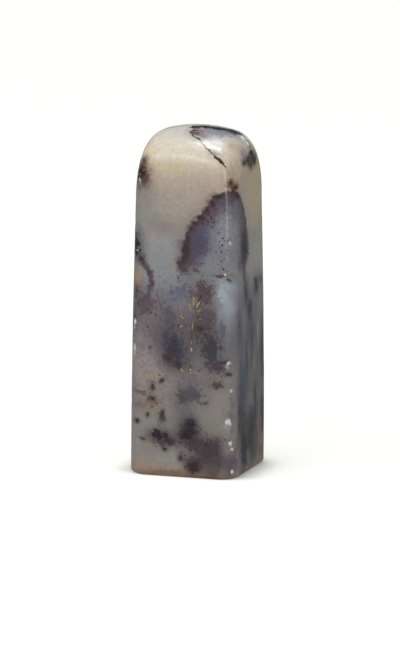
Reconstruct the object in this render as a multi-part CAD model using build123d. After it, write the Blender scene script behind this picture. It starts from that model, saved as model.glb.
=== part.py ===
from build123d import *
import math
import os

# A carved stone seal stamp, in millimetres.
#
# A tall stone pillar, almost square in plan, stands on its carved printing face. Its four upright edges are
# rubbed round, its sides lean in a little, and its top rolls over into a soft crown. The printing face is cut
# in relief: a frame and two pairs of joined square scrolls stand up from a lowered ground, with sloping walls
# as a knife leaves them, and a film of red seal paste lies on them. A bamboo sprig is cut into the front with
# single knife strokes, and gilt lies at the bottom of each stroke.
#
# +Z is up, the front faces -Y, and the origin is the middle of the printing face, under the paste.

# The pillar
FACE_WIDTH = 25.0
FACE_DEPTH = 25.6
SEAL_HEIGHT = 76.8
EDGE_RADIUS = 4.2
LEAN_IN = 0.73
FOOT_EASE = 1.0
FOOT_HEIGHT = 1.0
COLUMN_STEPS = 4

# The crown: the arc across its top, and the narrow flat strip between its front roll and its back roll
CROWN_RADIUS = 29.6
CREST_WIDTH = 2.1

# The printing face
RELIEF_DEPTH = 0.9
WALL_SLOPE = 8.0
FRAME_WIDTH = 1.35
SCROLL_LINE = 0.85
CHANNEL = 0.75
PASTE_THICKNESS = 0.1

# The sprig on the front
SPRIG_WIDTH = 6.4
SPRIG_HEIGHT = 20.0
SPRIG_RIGHT_OF_MIDDLE = 2.2
SPRIG_MIDDLE_HEIGHT = 33.0
STROKE_WIDTH = 0.95
STROKE_DEPTH = 0.5
CUT_OVERRUN = 0.1
STROKE_FLOOR_SHARE = 0.35
STROKE_SHOULDER_SHARE = 0.28
GILT_FILL_SHARE = 0.65

# Each stroke: where it starts and ends, as shares of the sprig's width and height, and its share of full width
STEM_STROKE_SHARES = (
    (0.50, 0.00, 0.53, 0.20, 0.70),
    (0.53, 0.23, 0.54, 0.45, 0.62),
    (0.55, 0.48, 0.60, 0.68, 0.55),
    (0.49, 0.49, 0.33, 0.58, 0.45),
)
LEAF_STROKE_SHARES = (
    (0.26, 0.60, 0.02, 0.80, 0.95),
    (0.27, 0.56, 0.00, 0.52, 0.75),
    (0.66, 0.70, 1.00, 0.79, 0.90),
    (0.67, 0.74, 0.92, 0.92, 1.00),
    (0.60, 0.75, 0.58, 1.00, 0.90),
    (0.54, 0.71, 0.32, 0.86, 0.80),
    (0.70, 0.66, 0.93, 0.62, 0.70),
    (0.30, 0.03, 0.08, 0.09, 0.70),
    (0.72, 0.05, 0.98, 0.08, 0.65),
)

top_half_width = FACE_WIDTH / 2 - LEAN_IN
top_half_depth = FACE_DEPTH / 2 - LEAN_IN
brow_radius = top_half_depth - CREST_WIDTH / 2
crown_centre = SEAL_HEIGHT - CROWN_RADIUS
shoulder_height = crown_centre + math.sqrt((CROWN_RADIUS - brow_radius) ** 2 - top_half_width ** 2)

stone_bottom = PASTE_THICKNESS
foot_top = stone_bottom + FOOT_EASE + FOOT_HEIGHT
leaning_height = shoulder_height - foot_top
frame_corner_radius = EDGE_RADIUS - FOOT_EASE


def lean(z):
    """How far each side has leaned in at height z: a parabola that runs from the foot to the shoulders."""
    share = (z - foot_top) / leaning_height
    return LEAN_IN * min(max(share, 0.0), 1.0) ** 2


def stone_section(z):
    """The stone's outline at a height below the shoulders: a rectangle with rounded corners."""
    outline = RectangleRounded(FACE_WIDTH - 2 * lean(z), FACE_DEPTH - 2 * lean(z), EDGE_RADIUS)
    return Plane.XY.offset(z) * outline


def foot():
    """The upright foot of the stone, with its lower edge rubbed round."""
    block = extrude(stone_section(stone_bottom), FOOT_EASE + FOOT_HEIGHT)
    return fillet(block.edges().group_by(Axis.Z)[0], FOOT_EASE)


def column():
    """The long leaning sides, in straight stretches that follow the lean."""
    heights = [foot_top + leaning_height * i / COLUMN_STEPS for i in range(COLUMN_STEPS + 1)]
    return loft([stone_section(z) for z in heights], ruled=True)


def arch_profile():
    """The stone's middle seen from the side, from the shoulders up: an arch that rolls from front to back."""
    brow = SEAL_HEIGHT - brow_radius
    bow = brow_radius * math.sqrt(1 / 2)
    low = shoulder_height - EDGE_RADIUS
    front_corner = Vector(0, -top_half_depth, brow)
    front_crest = Vector(0, -CREST_WIDTH / 2, SEAL_HEIGHT)
    back_crest = Vector(0, CREST_WIDTH / 2, SEAL_HEIGHT)
    back_corner = Vector(0, top_half_depth, brow)
    outline = Line((0, -top_half_depth, low), front_corner)
    outline += ThreePointArc(front_corner, front_crest + Vector(0, -bow, bow - brow_radius), front_crest)
    outline += Line(front_crest, back_crest)
    outline += ThreePointArc(back_crest, back_crest + Vector(0, bow, bow - brow_radius), back_corner)
    outline += Polyline(back_corner, (0, top_half_depth, low), (0, -top_half_depth, low))
    return make_face(outline)


def crown():
    """The top: the arch swung to both sides along the crown's arc, cut off at the side faces, its edges rounded."""
    hinge = Axis((0, 0, crown_centre), (0, 1, 0))
    reach = math.degrees(math.atan2(top_half_width + EDGE_RADIUS, shoulder_height - crown_centre))
    fan = revolve(arch_profile(), axis=hinge, revolution_arc=2 * reach).rotate(hinge, -reach)
    bottom = (Align.CENTER, Align.CENTER, Align.MIN)
    block = Box(2 * top_half_width, FACE_DEPTH, SEAL_HEIGHT, align=bottom)
    top = fan & Pos(0, 0, shoulder_height) * block
    faces = top.faces().sort_by(Axis.X)
    left_edges = faces[0].edges().sort_by(Axis.Z)[1:]
    right_edges = faces[-1].edges().sort_by(Axis.Z)[1:]
    return fillet(left_edges + right_edges, EDGE_RADIUS)


def line_block(start, end):
    """One straight stretch of a scroll's line, square at both ends."""
    wide = abs(end[0] - start[0]) + SCROLL_LINE
    deep = abs(end[1] - start[1]) + SCROLL_LINE
    middle = ((start[0] + end[0]) / 2, (start[1] + end[1]) / 2)
    return Pos(*middle) * Rectangle(wide, deep)


def scroll_points(wide, deep):
    """The corners of a square scroll, from the middle of the face's side up and round, then inwards."""
    pitch = SCROLL_LINE + CHANNEL
    turns = max(1, int((min(wide, deep) / pitch + 1) / 2))
    across = wide / (2 * turns - 1)
    along = deep / (2 * turns - 1)
    points = [(0.0, -(CHANNEL + SCROLL_LINE) / 2)]
    for turn in range(turns):
        points.append((turn * across, deep - turn * along))
        points.append((wide - turn * across, deep - turn * along))
        if turn < turns - 1:
            points.append((wide - turn * across, turn * along))
            points.append(((turn + 1) * across, turn * along))
    return points


def scrolls():
    """Two pairs of joined square scrolls, as a flat sketch that fills the frame's window."""
    window_width = FACE_WIDTH - 2 * FOOT_EASE - 2 * FRAME_WIDTH
    window_depth = FACE_DEPTH - 2 * FOOT_EASE - 2 * FRAME_WIDTH
    wide = (window_width - 3 * CHANNEL) / 2 - SCROLL_LINE
    deep = (window_depth - 3 * CHANNEL) / 2 - SCROLL_LINE
    corner = ((CHANNEL + SCROLL_LINE) / 2 - window_width / 2 + CHANNEL / 2, (CHANNEL + SCROLL_LINE) / 2)
    points = scroll_points(wide, deep)
    quarter = Sketch()
    for start, end in zip(points, points[1:]):
        quarter += line_block(start, end)
    quarter = Pos(*corner) * quarter
    pair = quarter + mirror(quarter, about=Plane.XZ)
    return pair + mirror(pair, about=Plane.YZ)


def frame_outline():
    """The flat of the printing face, inside its rubbed edge."""
    return RectangleRounded(FACE_WIDTH - 2 * FOOT_EASE, FACE_DEPTH - 2 * FOOT_EASE, frame_corner_radius)


def frame_window():
    """The opening in the frame."""
    wide = FACE_WIDTH - 2 * FOOT_EASE - 2 * FRAME_WIDTH
    deep = FACE_DEPTH - 2 * FOOT_EASE - 2 * FRAME_WIDTH
    return RectangleRounded(wide, deep, max(frame_corner_radius - FRAME_WIDTH, CHANNEL / 2))


def printing_lines():
    """Everything on the face that takes paste and prints."""
    return frame_outline() - frame_window() + scrolls()


def ground_cut():
    """What the knife takes out between the printing lines. It narrows as it goes deeper."""
    ground = Plane.XY.offset(stone_bottom) * (frame_window() - scrolls())
    return extrude(ground, RELIEF_DEPTH, taper=WALL_SLOPE)


def front_plane():
    """The plane that touches the leaning front at the middle of the sprig."""
    front = FACE_DEPTH / 2 - lean(SPRIG_MIDDLE_HEIGHT)
    slope = 2 * LEAN_IN * (SPRIG_MIDDLE_HEIGHT - foot_top) / leaning_height ** 2
    middle = (SPRIG_RIGHT_OF_MIDDLE, -front, SPRIG_MIDDLE_HEIGHT)
    return Plane(origin=middle, x_dir=(1, 0, 0), z_dir=(0, -1, slope))


def stroke_outline(stroke, depth):
    """A stroke's kite at a depth under the front: blunt at its start, pointed at its end, smaller further in."""
    start = Vector((stroke[0] - 1 / 2) * SPRIG_WIDTH, (stroke[1] - 1 / 2) * SPRIG_HEIGHT)
    end = Vector((stroke[2] - 1 / 2) * SPRIG_WIDTH, (stroke[3] - 1 / 2) * SPRIG_HEIGHT)
    run = end - start
    side = Vector(-run.Y, run.X).normalized() * (STROKE_WIDTH * stroke[4] / 2)
    shoulder = start + run * STROKE_SHOULDER_SHARE
    full_depth = STROKE_DEPTH * stroke[4]
    size = 1.0 - (1.0 - STROKE_FLOOR_SHARE) * depth / full_depth
    corners = (start, shoulder + side, end, shoulder - side)
    points = [shoulder + (corner - shoulder) * size for corner in corners]
    return front_plane().offset(-depth) * make_face(Polyline(*points, close=True))


def knife_stroke(stroke):
    """What one stroke of the knife takes out of the front."""
    floor = STROKE_DEPTH * stroke[4]
    return loft([stroke_outline(stroke, -CUT_OVERRUN), stroke_outline(stroke, floor)], ruled=True)


def gilt_in(stroke):
    """The gilt that lies at the bottom of one stroke and fills it from wall to wall."""
    floor = STROKE_DEPTH * stroke[4]
    top = floor * (1.0 - GILT_FILL_SHARE)
    return loft([stroke_outline(stroke, top), stroke_outline(stroke, floor)], ruled=True)


strokes = STEM_STROKE_SHARES + LEAF_STROKE_SHARES

stone = foot() + column() + crown()
stone -= ground_cut()
stone -= [knife_stroke(stroke) for stroke in strokes]
gilt = Compound(children=[gilt_in(stroke) for stroke in strokes])
paste = extrude(printing_lines(), PASTE_THICKNESS)

os.makedirs("parts", exist_ok=True)
parts = {
    "seal_stone": stone,
    "gilt_side_mark": gilt,
    "red_paste_film": paste,
}
for name, part in parts.items():
    box = part.bounding_box()
    print(name, "solids", len(part.solids()), "volume", round(part.volume, 2), "size", box.size)
    export_step(part, f"parts/{name}.step")
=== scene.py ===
# %% [markdown]
# A carved stone seal stamp. The object is a tall pillar of mottled, waxy soapstone with a soft crown, a
# printing face cut in relief at its foot, and a small sprig of knife strokes on its front that holds gilt.
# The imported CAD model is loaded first, because every piece here has to lie in the same place as the solid
# that it dresses.

# %% The frame
import math
import random

import bmesh
import bpy
import numpy as np
from mathutils import Matrix, Vector


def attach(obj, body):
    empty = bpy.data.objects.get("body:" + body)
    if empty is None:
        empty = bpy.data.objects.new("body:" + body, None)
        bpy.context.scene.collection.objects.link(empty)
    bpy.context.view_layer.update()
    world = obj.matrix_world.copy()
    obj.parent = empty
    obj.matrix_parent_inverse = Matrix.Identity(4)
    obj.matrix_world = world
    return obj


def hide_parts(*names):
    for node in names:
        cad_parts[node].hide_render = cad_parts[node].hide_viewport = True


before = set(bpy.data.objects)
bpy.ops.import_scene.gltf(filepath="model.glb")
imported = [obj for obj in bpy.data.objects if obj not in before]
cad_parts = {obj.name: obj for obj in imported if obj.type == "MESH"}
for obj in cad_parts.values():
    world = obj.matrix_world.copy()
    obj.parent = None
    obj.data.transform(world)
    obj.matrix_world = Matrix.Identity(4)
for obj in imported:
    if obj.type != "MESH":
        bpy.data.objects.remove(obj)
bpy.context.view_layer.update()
MM = 0.001
print("nodes", sorted(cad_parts))

# %% [markdown]
# The stone's form. A seal cutter grinds a sawn block flat on its sides, rolls the top over from front to
# back, and rubs every edge round on wet grit. One rule can say all of this: it tells how many millimetres a
# place lies outside the stone, and rounds the meeting of two faces like a ball that rolls along the edge. A
# mesh that is fitted to such a rule has even, small faces wherever they are wanted, and shows none of the
# long triangles of a CAD file.

# %% The rule for the stone's form
FACE_WIDTH = 25.0
FACE_DEPTH = 25.6
SEAL_HEIGHT = 76.8
EDGE_RADIUS = 4.2
LEAN_IN = 0.73
FOOT_EASE = 1.0
FOOT_TOP = 2.1
CROWN_RADIUS = 29.6
CREST_WIDTH = 2.1
PASTE_THICKNESS = 0.1

half_depth_at_top = FACE_DEPTH / 2 - LEAN_IN
half_width_at_top = FACE_WIDTH / 2 - LEAN_IN
brow_radius = half_depth_at_top - CREST_WIDTH / 2
crown_centre = SEAL_HEIGHT - CROWN_RADIUS
shoulder = crown_centre + math.sqrt((CROWN_RADIUS - brow_radius) ** 2 - half_width_at_top ** 2)
SHOULDER_SOFTNESS = 0.12


def lean(z):
    """How far the sides have leaned in at height z, with a soft end at the shoulders."""
    share = np.clip((z - FOOT_TOP) / (shoulder - FOOT_TOP), 0, 1.3) ** 2
    return LEAN_IN * (share + 1 - np.sqrt((share - 1) ** 2 + SHOULDER_SOFTNESS ** 2)) / 2


def round_meet(one, other, radius):
    """Where two faces meet, the edge between them is rounded by this radius."""
    past_one = np.maximum(one + radius, 0)
    past_other = np.maximum(other + radius, 0)
    return np.minimum(np.maximum(one, other), -radius) + np.hypot(past_one, past_other)


def outside_stone(place):
    """Millimetres outside the plain stone; negative inside."""
    x, y, z = np.abs(place[..., 0]), np.abs(place[..., 1]), place[..., 2]
    side = x - (FACE_WIDTH / 2 - lean(z))
    reach = np.hypot(x, np.maximum(z - crown_centre, 0)) - (CROWN_RADIUS - brow_radius)
    across = y - (FACE_DEPTH / 2 - lean(z) - brow_radius)
    arch = np.hypot(np.maximum(reach, 0), np.maximum(across, 0)) - brow_radius
    wall = round_meet(side, arch, EDGE_RADIUS)
    return round_meet(wall, PASTE_THICKNESS - z, FOOT_EASE)


print("shoulders at", round(shoulder, 2), "mm")

# %% [markdown]
# Nothing that is rubbed by hand is quite flat. A few long, very low waves are added to the rule, so that
# reflections bend a little as they cross a face. They are far too low to see as a shape, and yet without them
# the stone would look like glass from a machine.

# %% Low waves of hand polishing
WAVE_HEIGHT = 0.035
WAVE_LENGTHS = (9.0, 14.0, 23.0)
wave_draw = random.Random(11)
waves = []
for length in WAVE_LENGTHS:
    for _ in range(3):
        heading = Vector((wave_draw.gauss(0, 1), wave_draw.gauss(0, 1), wave_draw.gauss(0, 1))).normalized()
        waves.append((np.array(heading) * 2 * math.pi / length, wave_draw.uniform(0, 2 * math.pi)))


def polished_stone(place):
    """The rule for the stone with its low waves."""
    height = sum(np.sin(place @ heading + start) for heading, start in waves) / len(waves)
    return outside_stone(place) - WAVE_HEIGHT * height


print(len(waves), "waves, up to", WAVE_HEIGHT, "mm high")

# %% [markdown]
# The mesh of the stone. Rays run from the stone's middle line outwards, in rings: level rings up the sides,
# then rings that tilt up towards the top. Along each ray the rule is halved down to the place where it is
# zero. The rays are closer together at the rounded edges, because small chips are cut there later and need
# fine faces.

# %% Rings of rays from the middle line
EDGE_STEPS = 22
FACE_STEPS = 30
RING_GAP = 0.42
TILT_STEP = math.radians(1.75)
FOOT_STEP = 15
DOME_BASE = 58.0
RAY_LENGTH = 30.0
HALVINGS = 26


def rounded_outline(wide, deep, radius, steps=10):
    """Points of a rectangle with rounded corners, anticlockwise."""
    points = []
    for x, y, start in ((1, -1, -90), (1, 1, 0), (-1, 1, 90), (-1, -1, 180)):
        for step in range(steps + 1):
            turn = math.radians(start + 90 * step / steps)
            points.append((x * (wide / 2 - radius) + radius * math.cos(turn),
                           y * (deep / 2 - radius) + radius * math.sin(turn)))
    return points


def ring_directions():
    """Level directions that are spread evenly along the stone's flat faces, and closer at its edges."""
    outline = [Vector(point) for point in rounded_outline(FACE_WIDTH, FACE_DEPTH, EDGE_RADIUS, EDGE_STEPS)]
    points = []
    for number, here in enumerate(outline):
        there = outline[(number + 1) % len(outline)]
        parts = FACE_STEPS if number % (EDGE_STEPS + 1) == EDGE_STEPS else 1
        points += [here.lerp(there, part / parts) for part in range(parts)]
    return np.array([point.normalized() for point in points])


def ray_ends(starts, headings):
    """Where rays from inside the stone leave it."""
    near, far = np.zeros(len(starts)), np.full(len(starts), RAY_LENGTH)
    for _ in range(HALVINGS):
        middle = (near + far) / 2
        beyond = polished_stone(starts + middle[:, None] * headings) > 0
        far = np.where(beyond, middle, far)
        near = np.where(beyond, near, middle)
    return starts + middle[:, None] * headings


level = ring_directions()
foot_rows = [PASTE_THICKNESS + FOOT_EASE * (1 - math.cos(math.radians(a))) for a in range(0, 91, FOOT_STEP)]
side_count = round((DOME_BASE - foot_rows[-1]) / RING_GAP)
side_rows = [foot_rows[-1] + (DOME_BASE - foot_rows[-1]) * i / side_count for i in range(1, side_count + 1)]
tilt_count = round(math.radians(90) / TILT_STEP)
rings = []
for z, tilt in [(z, 0) for z in foot_rows + side_rows] + [
        (DOME_BASE, math.radians(90) * i / tilt_count) for i in range(1, tilt_count)]:
    headings = np.column_stack([level * math.cos(tilt), np.full(len(level), math.sin(tilt))])
    rings.append(ray_ends(np.tile((0, 0, z), (len(level), 1)), headings))
rings[0][:, 2] = PASTE_THICKNESS
top = ray_ends(np.array([[0, 0, DOME_BASE]]), np.array([[0, 0, 1.0]]))
print(len(rings), "rings of", len(level), "points, top at", round(float(top[0, 2]), 3), "mm")

# %% [markdown]
# Chips. Soapstone is soft enough to mark with a fingernail, and the edges of an old seal are peppered with
# small chips that catch the light. Each chip is a shallow dent, pressed into the ring points along the way
# that the face looks. The larger ones are placed where the photograph shows a glint, and a seeded draw
# scatters smaller ones along the other edges.

# %% Chips along the edges
CHIPS = (
    # x, y, z, radius, depth
    (-9.9, -11.4, 67.9, 0.8, 0.16), (-10.2, -11.2, 65.3, 0.8, 0.16), (-7.6, -12.1, 67.2, 0.6, 0.10),
    (-10.6, -11.6, 48.9, 0.7, 0.14), (-10.9, -11.4, 40.6, 0.8, 0.14), (-11.2, -11.3, 34.2, 1.0, 0.20),
    (-11.3, -11.1, 32.9, 0.8, 0.18), (-11.1, -11.4, 31.0, 0.7, 0.14), (-11.2, -11.3, 28.3, 0.9, 0.18),
    (-11.4, -11.2, 24.6, 0.6, 0.12), (-11.3, -11.3, 19.0, 0.6, 0.12), (-10.9, -11.8, 8.6, 0.6, 0.10),
    (10.9, -11.1, 52.7, 0.7, 0.20), (9.9, -11.9, 45.8, 0.6, 0.12), (10.6, -11.5, 26.1, 0.8, 0.22),
    (10.8, -11.9, 13.2, 1.1, 0.30), (10.4, -12.1, 14.4, 0.6, 0.14), (11.2, -11.6, 12.6, 0.7, 0.16),
    (11.3, -11.6, 8.2, 0.9, 0.20), (11.6, -11.3, 6.9, 0.7, 0.16), (11.2, -11.7, 5.4, 0.6, 0.12),
    (11.4, -11.4, 19.9, 0.7, 0.16), (11.6, -11.2, 1.9, 0.8, 0.16), (12.2, -3.0, 30.4, 0.6, 0.10),
    (12.3, 5.2, 33.2, 0.8, 0.14), (6.1, -9.9, 71.8, 0.8, 0.08), (9.5, -8.0, 70.2, 0.6, 0.08),
)
SCATTERED_CHIPS = 46
CHIPPED_HEIGHT = 66.0
LOWEST_CHIP = 1.5
CROWDED_LOW_DOWN = 1.5
TURN_AND_SPREAD = (45, 14)
SMALL_RADII, SMALL_DEPTHS = (0.4, 0.8), (0.05, 0.12)
CHIP_REACH = 1.2
CHIP_BLUNTNESS = 0.6
LONG_UPRIGHT = np.array([1.0, 1.0, 0.8])
RAGGED_SHARE, RIPPLES = 0.25, 7.0
SLOPE_STEP = 0.02
chip_draw = random.Random(29)


def edge_chips():
    """The placed chips, and a scatter of small ones on the four upright edges."""
    chips = list(CHIPS)
    for _ in range(SCATTERED_CHIPS):
        z = LOWEST_CHIP + CHIPPED_HEIGHT * chip_draw.random() ** CROWDED_LOW_DOWN
        x_side, y_side = chip_draw.choice(((-1, -1), (1, 1), (-1, 1), (1, -1)))
        turn = math.radians(chip_draw.gauss(*TURN_AND_SPREAD))
        x = x_side * (FACE_WIDTH / 2 - EDGE_RADIUS - float(lean(z)) + EDGE_RADIUS * math.cos(turn))
        y = y_side * (FACE_DEPTH / 2 - EDGE_RADIUS - float(lean(z)) + EDGE_RADIUS * math.sin(turn))
        chips.append((x, y, z, chip_draw.uniform(*SMALL_RADII), chip_draw.uniform(*SMALL_DEPTHS)))
    return chips


def press_chips(points, chips):
    """Moves points inwards where a chip has broken out."""
    depth = np.zeros(len(points))
    for x, y, z, radius, deep in chips:
        away = (points - np.array([x, y, z])) * LONG_UPRIGHT
        away += RAGGED_SHARE * radius * np.sin(points[:, [2, 0, 1]] * RIPPLES / radius)
        near = np.clip(CHIP_REACH - np.linalg.norm(away, axis=1) / radius, 0, 1)
        depth = np.maximum(depth, deep * near ** CHIP_BLUNTNESS)
    slope = np.zeros_like(points)
    for axis in range(3):
        step = np.zeros(3)
        step[axis] = SLOPE_STEP
        slope[:, axis] = outside_stone(points + step) - outside_stone(points - step)
    slope /= np.linalg.norm(slope, axis=1)[:, None]
    return points - slope * depth[:, None], depth


ring_points = np.concatenate(rings)
chipped_points, chip_depths = press_chips(ring_points, edge_chips())
chipped_points[: len(level), 2] = PASTE_THICKNESS
print(int((chip_depths > 0).sum()), "points pressed in, deepest", round(float(chip_depths.max()), 3), "mm")

# %% [markdown]
# Rings of points become a mesh: four-sided faces between neighbouring rings, a fan of triangles at the crest,
# and one flat face at the foot. Blender works in metres here, so the millimetres are scaled as the mesh is
# made.

# %% The stone's mesh


def mesh_piece(name, points, faces):
    """A new object in the scene from points in millimetres."""
    mesh = bpy.data.meshes.new(name)
    mesh.from_pydata([tuple(float(v) * MM for v in point) for point in points], [], faces)
    mesh.validate()
    piece = bpy.data.objects.new(name, mesh)
    bpy.context.scene.collection.objects.link(piece)
    return piece


def closed_piece(name, points, faces):
    """A new object whose faces all look outwards."""
    piece = mesh_piece(name, points, faces)
    solid = bmesh.new()
    solid.from_mesh(piece.data)
    bmesh.ops.recalc_face_normals(solid, faces=solid.faces)
    solid.to_mesh(piece.data)
    solid.free()
    return piece


around = len(level)
faces = []
for ring in range(len(rings) - 1):
    low, high = ring * around, (ring + 1) * around
    for i in range(around):
        j = (i + 1) % around
        faces.append((low + i, low + j, high + j, high + i))
last = (len(rings) - 1) * around
crest = len(chipped_points)
faces += [(last + i, last + (i + 1) % around, crest) for i in range(around)]
faces.append(tuple(reversed(range(around))))
stone = mesh_piece("polished_stone", list(chipped_points) + [top[0]], faces)
print("stone faces", len(stone.data.polygons))

# %% [markdown]
# The printing face. A seal prints what stands up, so the cutter lowers the ground between the lines with a
# knife whose cuts slope outwards as they go deeper. Here that is a pocket inside the frame, and two winding
# lines that are put back into it, each a ribbon that is wider at its root. The pattern is a plain one: pairs
# of square scrolls.

# %% Pocket and scroll lines
RELIEF_DEPTH = 0.9
WALL_SLOPE = math.radians(8.0)
FRAME_WIDTH = 1.35
SCROLL_LINE = 0.85
CHANNEL = 0.75
OVERCUT = 0.2
ROOT_LAP = 0.15
root_spread = RELIEF_DEPTH * math.tan(WALL_SLOPE)


def stacked(name, levels):
    """A solid through level outlines that have the same number of points, the lowest first."""
    count = len(levels[0][0])
    last_row = count * (len(levels) - 1)
    points = [(x, y, z) for outline, z in levels for x, y in outline]
    sides = [(row + i, row + (i + 1) % count, row + count + (i + 1) % count, row + count + i)
             for row in range(0, last_row, count) for i in range(count)]
    return closed_piece(name, points, sides + [
        tuple(reversed(range(count))), tuple(range(last_row, last_row + count))])


def scroll_path(wide, deep):
    """The corners of one square scroll, from the middle of the face's side up and round, then inwards."""
    turns = max(1, int((min(wide, deep) / (SCROLL_LINE + CHANNEL) + 1) / 2))
    across, along = wide / (2 * turns - 1), deep / (2 * turns - 1)
    points = []
    for turn in range(turns):
        points.append((turn * across, deep - turn * along))
        points.append((wide - turn * across, deep - turn * along))
        if turn < turns - 1:
            points.append((wide - turn * across, turn * along))
            points.append(((turn + 1) * across, turn * along))
    return points


def ribbon_outline(path, width):
    """A line of this width along square turns, as one outline with mitred corners."""
    left, right = [], []
    half = width / 2
    for i, here in enumerate(path):
        before = (Vector(here) - Vector(path[i - 1])).normalized() if i else None
        after = (Vector(path[i + 1]) - Vector(here)).normalized() if i < len(path) - 1 else None
        before, after = before or after, after or before
        side = Vector((-before.y - after.y, before.x + after.x)) / (1 + before.dot(after))
        cap = -after * half if i == 0 else before * half if i == len(path) - 1 else Vector((0, 0))
        left.append(Vector(here) + side * half + cap)
        right.append(Vector(here) - side * half + cap)
    return [tuple(p) for p in right + left[::-1]]


window_width = FACE_WIDTH - 2 * FOOT_EASE - 2 * FRAME_WIDTH
window_depth = FACE_DEPTH - 2 * FOOT_EASE - 2 * FRAME_WIDTH
window_radius = EDGE_RADIUS - FOOT_EASE - FRAME_WIDTH
ground_z = PASTE_THICKNESS + RELIEF_DEPTH
mouth = rounded_outline(window_width, window_depth, window_radius)
ground_outline = rounded_outline(window_width - 2 * root_spread, window_depth - 2 * root_spread,
                                 window_radius - root_spread / 2)
pocket = stacked("pocket_cutter", [
    (mouth, PASTE_THICKNESS - OVERCUT), (mouth, PASTE_THICKNESS), (ground_outline, ground_z)])

scroll_wide = (window_width - 3 * CHANNEL) / 2 - SCROLL_LINE
scroll_deep = (window_depth - 3 * CHANNEL) / 2 - SCROLL_LINE
corner_x = SCROLL_LINE / 2 + CHANNEL / 2 - window_width / 2 + CHANNEL / 2
corner_y = SCROLL_LINE / 2 + CHANNEL / 2
quarter_path = [(x + corner_x, y + corner_y) for x, y in scroll_path(scroll_wide, scroll_deep)]
pair_path = [(x, -y) for x, y in reversed(quarter_path)] + quarter_path
ribbons = []
for side in (1, -1):
    path = [(side * x, y) for x, y in pair_path]
    top_line = ribbon_outline(path, SCROLL_LINE)
    root_line = ribbon_outline(path, SCROLL_LINE + 2 * root_spread)
    ribbons.append(stacked("scroll_lines", [
        (top_line, PASTE_THICKNESS), (root_line, ground_z), (root_line, ground_z + ROOT_LAP)]))
print("window", round(window_width, 2), "by", round(window_depth, 2), "mm, corners", len(quarter_path))

# %% [markdown]
# The sprig on the front. On such seals one push of the knife makes one stroke: blunt and deep where the blade
# goes in, and drawn out to a point where it leaves. The sprig is a plain bamboo twig of stem strokes and leaf
# strokes. Each stroke is cut as a kite that shrinks as it goes deeper, exactly where the gilt solids of the
# CAD model lie.

# %% Knife strokes
SPRIG_WIDTH = 6.4
SPRIG_HEIGHT = 20.0
SPRIG_RIGHT_OF_MIDDLE = 2.2
SPRIG_MIDDLE_HEIGHT = 33.0
STROKE_WIDTH = 0.95
STROKE_DEPTH = 0.5
STROKE_FLOOR_SHARE = 0.35
STROKE_SHOULDER_SHARE = 0.28
STROKE_SHARES = (
    # start u, start v, end u, end v, width: shares of the sprig's width, height and full stroke
    (0.50, 0.00, 0.53, 0.20, 0.70),
    (0.53, 0.23, 0.54, 0.45, 0.62),
    (0.55, 0.48, 0.60, 0.68, 0.55),
    (0.49, 0.49, 0.33, 0.58, 0.45),
    (0.26, 0.60, 0.02, 0.80, 0.95),
    (0.27, 0.56, 0.00, 0.52, 0.75),
    (0.66, 0.70, 1.00, 0.79, 0.90),
    (0.67, 0.74, 0.92, 0.92, 1.00),
    (0.60, 0.75, 0.58, 1.00, 0.90),
    (0.54, 0.71, 0.32, 0.86, 0.80),
    (0.70, 0.66, 0.93, 0.62, 0.70),
    (0.30, 0.03, 0.08, 0.09, 0.70),
    (0.72, 0.05, 0.98, 0.08, 0.65),
)


def cad_lean(z):
    """The CAD model's lean: a plain parabola."""
    return LEAN_IN * ((z - FOOT_TOP) / (shoulder - FOOT_TOP)) ** 2


def front_place(u, v, depth):
    """From shares of the sprig, and a depth, to a place in the plane that touches the front at its middle."""
    slope = 2 * cad_lean(SPRIG_MIDDLE_HEIGHT) / (SPRIG_MIDDLE_HEIGHT - FOOT_TOP)
    outwards = Vector((0, -1, slope)).normalized()
    upwards = Vector((0, slope, 1)).normalized()
    front_y = -(FACE_DEPTH / 2 - cad_lean(SPRIG_MIDDLE_HEIGHT))
    middle = Vector((SPRIG_RIGHT_OF_MIDDLE, front_y, SPRIG_MIDDLE_HEIGHT))
    return middle + Vector((u * SPRIG_WIDTH, 0, 0)) + upwards * v * SPRIG_HEIGHT - outwards * depth


def stroke_kite(stroke, depth):
    """The four corners of a stroke at a depth."""
    start = Vector(((stroke[0] - 0.5) * SPRIG_WIDTH, (stroke[1] - 0.5) * SPRIG_HEIGHT))
    end = Vector(((stroke[2] - 0.5) * SPRIG_WIDTH, (stroke[3] - 0.5) * SPRIG_HEIGHT))
    run = end - start
    side = Vector((-run.y, run.x)).normalized() * STROKE_WIDTH * stroke[4] / 2
    widest = start + run * STROKE_SHOULDER_SHARE
    size = 1 - (1 - STROKE_FLOOR_SHARE) * depth / (STROKE_DEPTH * stroke[4])
    flat = [widest + (corner - widest) * size for corner in (start, widest + side, end, widest - side)]
    return [front_place(p.x / SPRIG_WIDTH, p.y / SPRIG_HEIGHT, depth) for p in flat]


def stroke_cutters():
    """All the strokes as one object of separate kites."""
    points, sides = [], []
    for stroke in STROKE_SHARES:
        base = len(points)
        points += stroke_kite(stroke, -OVERCUT) + stroke_kite(stroke, STROKE_DEPTH * stroke[4])
        sides += [(base + 0, base + 1, base + 2, base + 3), (base + 7, base + 6, base + 5, base + 4)]
        sides += [(base + i, base + 4 + i, base + 4 + (i + 1) % 4, base + (i + 1) % 4) for i in range(4)]
    return closed_piece("stroke_cutters", points, sides)


cutters = stroke_cutters()
print(len(STROKE_SHARES), "strokes")

# %% [markdown]
# The cutting itself is done with boolean modifiers, whose result is then kept as the stone's mesh. The pocket
# and the strokes are taken out, and the scroll lines are put back in. The solids that cut are thrown away.

# %% Cutting the stone


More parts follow.
